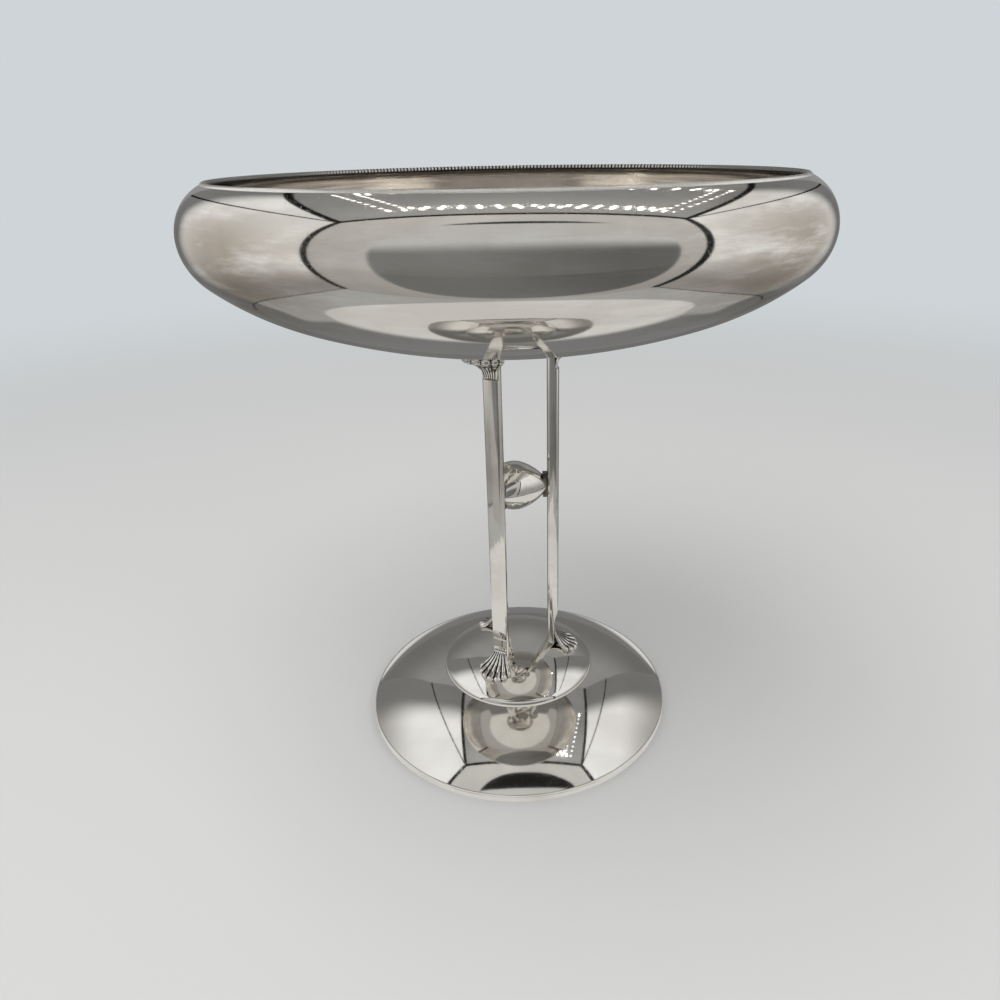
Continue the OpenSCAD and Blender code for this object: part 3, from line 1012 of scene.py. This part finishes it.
class COMPOTE_OT_stage(bpy.types.Operator):
    """Sets up the floor, the light tent that the silver mirrors, the lamps and the camera"""

    bl_idname = "compote.stage"
    bl_label = "Stage"
    bl_options = {"REGISTER", "UNDO"}

    def execute(self, context):
        scene, stage = context.scene, context.scene.compote_stage
        corners, top = tent_corners(stage), stage.tent_height
        self.floor(stage)
        self.tent(corners, top)
        self.tent_front(corners, top)
        self.room()
        self.seams(corners)
        self.small_lights(top)
        self.lamps()
        self.world(scene, stage)
        self.camera(scene)
        return {"FINISHED"}

    def floor(self, stage):
        """A pale floor that fades into the distance. Reflections show other things in its
        place: a bright round board, the tent's greyer floor and the dimmer floors behind the
        board and before the tent."""
        nothing_selected()
        bpy.ops.mesh.primitive_circle_add(vertices=96, radius=4.0, fill_type="NGON")
        floor = bpy.context.object
        floor.name = "floor"
        material, graph = new_material("pale_floor")
        x, y, _ = graph.parts(graph.place())
        away = (x * x + y * y) ** 0.5
        matte = graph.node("ShaderNodeBsdfDiffuse", {}, {"Color": tuple(stage.floor)})
        plain = graph.choice(away.step(0.35, 1.3), matte, graph.glow(tuple(stage.backdrop)))
        board_forward, board_edge, board_far_edge = 0.04, 0.2, 0.055
        from_board = (x * x + (y + board_forward) * (y + board_forward)) ** 0.5
        inside = graph.mixed(from_board.step(board_edge - 0.002, board_edge + 0.002), BOARD,
                             TENT_FLOOR)
        aside = x.absolute().step(0.16, 0.22)
        far = (y - aside * 0.08).step(board_far_edge, board_far_edge + 0.03)
        outside = graph.mixed(x.step(-0.1, 0.3), OUTSIDE_LEFT, OUTSIDE_RIGHT)
        mirrored = graph.mixed(y.step(-0.256, -0.266), graph.mixed(far, inside, BEHIND),
                               outside)
        seen = graph.choice(graph.ray("Is Glossy Ray"), plain, graph.glow(mirrored))
        below = graph.node("ShaderNodeNewGeometry", {}, {}, "Backfacing")
        graph.surface(graph.choice(below * graph.ray("Is Camera Ray"), seen, graph.clear()))
        floor.data.materials.append(material)

    def tent(self, corners, top):
        """A light tent of white cloth, brightest at the sides, that shows in reflections."""

        def sides(graph, x, y, z):
            lit = graph.mixed((z / top).step(0.12, 0.5), LOW_ON_SIDES, LIT)
            return graph.mixed(y.step(0.1, 0.2), lit, BEHIND)

        def eaves(graph, x, y, z):
            return graph.mixed(y.step(0.08, 0.19), LIT, BEHIND)

        def back(graph, x, y, z):
            return graph.mixed((z / top).step(0.1, 0.6), BACK_LOW, BACK_HIGH)

        def ceiling(graph, x, y, z):
            return graph.mixed(y.step(-0.2, 0.1), CEILING_FRONT, CEILING_BACK)

        for panels, shade in ((TENT_SIDES, sides), (TENT_EAVES, eaves), (TENT_BACK, back),
                              (TENT_CEILING, ceiling)):
            for name, *places in panels:
                material, graph, glow = cloth(f"{name}_cloth", shade)
                graph.surface(glow)
                panel(name, [corners[place] for place in places], material)

    def tent_front(self, corners, top):
        """The tent's front, with a rounded opening."""

        def front(graph, x, y, z):
            return graph.mixed((z / top).step(0.0, 0.8), FRONT_LOW, FRONT_HIGH)

        middle, half_width, height, half_height, squareness = 0.028, 0.165, 0.21, 0.185, 2.5
        material, graph, glow = cloth("tent_front_cloth", front)
        x, _, z = graph.parts(graph.place())
        across = ((x - middle) / half_width).absolute()
        upwards = ((z - height) / half_height).absolute()
        opening = (across ** squareness + upwards ** squareness).step(1.1, 0.95)
        graph.surface(graph.choice(opening, glow, graph.clear()))
        panel("tent_front", [corners[place] for place in (
            "low_left", "low_right", "high_right", "high_left")], material)

    def room(self):
        """The dim room before the tent, which shows through the opening."""
        material, graph = new_material("tent_room_dim")
        x, _, z = graph.parts(graph.place())
        low = graph.mixed(x.step(-0.3, 0.6), ROOM_LEFT, ROOM_RIGHT)
        high = graph.mixed(z.step(0.4, 0.7), low, ROOM_HIGH)
        graph.surface(graph.glow(graph.mixed(z.step(1.36, 1.4), high, ROOM_TOP)))
        half, before, bottom, top = 2.5, -0.75, -0.6, 2.5
        panel("tent_room", ((-half, before, bottom), (half, before, bottom),
                            (half, before, top), (-half, before, top)), material)

    def seams(self, corners):
        """The tent's dark seams."""
        material, graph = new_material("tent_seam_black")
        graph.surface(graph.glow(SEAM))
        for name, start, end, width in TENT_SEAMS:
            start, end = Vector(corners[start]), Vector(corners[end])
            nothing_selected()
            bpy.ops.mesh.primitive_cylinder_add(vertices=12, radius=width / 2,
                                                depth=(end - start).length)
            piece = bpy.context.object
            piece.name = name
            turned_to(piece, (start + end) / 2, end - start)
            for_reflections(piece, material)

    def small_lights(self, top):
        """Two rows of small lights round the tent's ceiling, the inner one half a pitch on."""
        loop = [Vector(place) for place in (
            (-0.135, -0.105), (0.225, -0.13), (0.25, 0.1), (-0.17, 0.095))]
        centre = sum(loop, Vector((0, 0))) / len(loop)
        row_inset, below_ceiling, radius, drawn_out = 0.13, 0.009, 0.0024, 4
        height = top - below_ceiling
        lights_on_sides = (17, 9, 15, 9)
        dots = []
        for row in (0, 1):
            for side, count in enumerate(lights_on_sides):
                along_y = side % 2
                for n in range(count):
                    place = loop[side].lerp(loop[(side + 1) % 4], (n + row / 2) / count)
                    place = place.lerp(centre, row * row_inset)
                    nothing_selected()
                    bpy.ops.mesh.primitive_ico_sphere_add(
                        subdivisions=1, radius=radius, location=(*place, height),
                        scale=(1, 1, 1) if along_y else (1, drawn_out, 1))
                    dots.append(bpy.context.object)
        lights = joined("tent_lights", dots)
        apply_place(lights)
        material, graph = new_material("tent_light")
        graph.surface(graph.glow(SMALL_LIGHT, 8.0))
        for_reflections(lights, material)

    def lamps(self):
        """Two soft lamps that light the floor and the bowl and show in no reflection."""
        target = Vector((0, 0, 0.08))
        for name, place, width, power in (("lamp_over", (-0.25, -0.2, 0.95), 0.8, 4.5),
                                          ("lamp_side", (0.7, -0.5, 0.7), 0.6, 2.0)):
            nothing_selected()
            bpy.ops.object.light_add(type="AREA", location=place)
            lamp = bpy.context.object
            lamp.name = name
            lamp.data.size = width
            lamp.data.energy = power
            lamp.rotation_euler = (target - Vector(place)).to_track_quat("-Z", "Y").to_euler()
            lamp.visible_glossy = False

    def world(self, scene, stage):
        """Even light, and the plain backdrop where the camera looks past everything."""
        world = bpy.data.worlds.new("studio")
        scene.world = world
        world.use_nodes = True
        graph = Graph(world.node_tree)
        light, backdrop = (graph.node("ShaderNodeBackground", {}, {"Color": colour})
                           for colour in ((0.7, 0.7, 0.7), tuple(stage.backdrop)))
        graph.surface(graph.choice(graph.ray("Is Camera Ray"), light, backdrop),
                      "ShaderNodeOutputWorld")

    def camera(self, scene):
        """The photograph's camera, from its fitted pitch, yaw, roll and focal length."""
        pitch, yaw, roll = math.radians(25.32), math.radians(0.687), math.radians(-1.0163)
        before, height = 0.3149, 0.26
        ahead = Vector((math.sin(yaw) * math.cos(pitch), math.cos(yaw) * math.cos(pitch),
                        -math.sin(pitch)))
        right = Vector((math.cos(yaw), -math.sin(yaw), 0))
        up = right.cross(ahead)
        side = right * math.cos(roll) + up * math.sin(roll)
        top = up * math.cos(roll) - right * math.sin(roll)
        nothing_selected()
        bpy.ops.object.camera_add(location=(0, -before, height))
        camera = bpy.context.object
        camera.name = "photo_camera"
        camera.rotation_euler = Matrix((side, top, -ahead)).transposed().to_euler()
        camera.data.sensor_width = 36
        camera.data.lens = 27.111
        camera.data.shift_x = -0.0229
        camera.data.clip_start = 0.01
        scene.camera = camera
        scene.view_settings.view_transform = "Standard"


OPERATORS = (COMPOTE_OT_bowl, COMPOTE_OT_rim, COMPOTE_OT_base, COMPOTE_OT_legs,
             COMPOTE_OT_palmettes, COMPOTE_OT_ball, COMPOTE_OT_collars, COMPOTE_OT_fasteners,
             COMPOTE_OT_stage)


class COMPOTE_PT_panel(bpy.types.Panel):
    """Lists the pieces of the bowl and the sizes and colours that they are made from"""

    bl_label = "Compote Bowl"
    bl_space_type = "VIEW_3D"
    bl_region_type = "UI"
    bl_category = "Compote"

    def draw(self, context):
        for operator in OPERATORS:
            self.layout.operator(operator.bl_idname)
        for name, group in SETTINGS.items():
            box = self.layout.box()
            box.label(text=group.__name__)
            for key in group.__annotations__:
                box.prop(getattr(context.scene, name), key)


def register():
    for name, group in SETTINGS.items():
        bpy.utils.register_class(group)
        setattr(bpy.types.Scene, name, PointerProperty(type=group))
    for operator in OPERATORS:
        bpy.utils.register_class(operator)
    bpy.utils.register_class(COMPOTE_PT_panel)


def unregister():
    bpy.utils.unregister_class(COMPOTE_PT_panel)
    for operator in reversed(OPERATORS):
        bpy.utils.unregister_class(operator)
    for name, group in reversed(SETTINGS.items()):
        delattr(bpy.types.Scene, name)
        bpy.utils.unregister_class(group)


def main():
    register()
    bpy.ops.compote.stage()
    bpy.ops.compote.bowl()
    bpy.ops.compote.rim()
    bpy.ops.compote.base()
    bpy.ops.compote.legs()
    bpy.ops.compote.palmettes()
    bpy.ops.compote.ball()
    bpy.ops.compote.collars()
    bpy.ops.compote.fasteners()
    nothing_selected()


if __name__ == "__main__":
    main()
